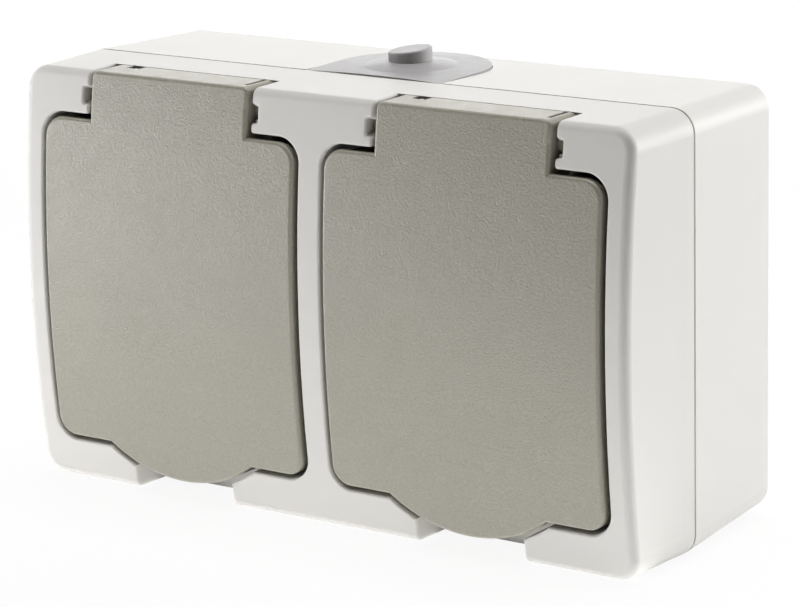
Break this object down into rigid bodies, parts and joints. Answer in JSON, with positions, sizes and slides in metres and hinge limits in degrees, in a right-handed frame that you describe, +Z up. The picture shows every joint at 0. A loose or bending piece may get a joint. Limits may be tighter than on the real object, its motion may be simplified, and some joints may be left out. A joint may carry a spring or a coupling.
{
  "type": "surface-mounted socket",
  "caption": "Surface-mounted double mains socket for damp rooms, with sprung textured lids over the plug wells, a bulged cover and a rubber cable grommet.",
  "frame": {"origin": "middle of the flat wall face at the back of the rear box", "axes": "+X to the right as seen from the room, +Y into the wall, +Z up"},
  "size_m": [0.148, 0.0553, 0.0921],
  "materials": {
    "casing_white": "smooth moulded, satin gloss",
    "lid_grey": "moulded with a fine leather grain, warm grey",
    "insert_white": "smooth moulded",
    "base_grey": "pressed thermoset, matt",
    "grommet_rubber": "soft grey rubber",
    "gasket_rubber": "olive grey rubber strip",
    "seal_rubber": "black rubber",
    "contact_brass": "bright stamped brass",
    "strap_brass": "nickel-plated strip",
    "zinc_steel": "zinc-plated",
    "spring_steel": "drawn wire",
    "wire_brown": "brown insulation",
    "wire_blue": "blue insulation",
    "wire_green": "green insulation"
  },
  "bodies": {
    "casing": {"rear_box": "casing_white", "box_gasket": "gasket_rubber", "cable_grommet": "grommet_rubber", "front_cover": "casing_white", "base_screws": "zinc_steel", "line_link": "wire_brown", "neutral_link": "wire_blue", "earth_link": "wire_green", "lid_spring_left": "spring_steel", "socket_cup_left": "insert_white", "contact_base_left": "base_grey", "line_contact_left": "contact_brass", "neutral_contact_left": "contact_brass", "earth_strap_left": "strap_brass", "terminal_screws_left": "zinc_steel", "centre_screw_left": "zinc_steel", "lid_spring_right": "spring_steel", "socket_cup_right": "insert_white", "contact_base_right": "base_grey", "line_contact_right": "contact_brass", "neutral_contact_right": "contact_brass", "earth_strap_right": "strap_brass", "terminal_screws_right": "zinc_steel", "centre_screw_right": "zinc_steel"},
    "lid_left_body": {"lid_left": "lid_grey", "lid_seal_left": "seal_rubber"},
    "lid_right_body": {"lid_right": "lid_grey", "lid_seal_right": "seal_rubber"}
  },
  "joints": [
    {"name": "lid_left_hinge", "type": "hinge", "parent": "casing", "child": "lid_left_body", "pos_m": [-0.0355, -0.0481, 0.0386], "axis": [-1, 0, 0], "range_deg": [0, 100], "stiffness_Nm_per_rad": 0.012, "springref_deg": -68.75, "deforming": ["lid_spring_left"]},
    {"name": "lid_right_hinge", "type": "hinge", "parent": "casing", "child": "lid_right_body", "pos_m": [0.0355, -0.0481, 0.0386], "axis": [-1, 0, 0], "range_deg": [0, 100], "stiffness_Nm_per_rad": 0.012, "springref_deg": -68.75, "deforming": ["lid_spring_right"]}
  ]
}
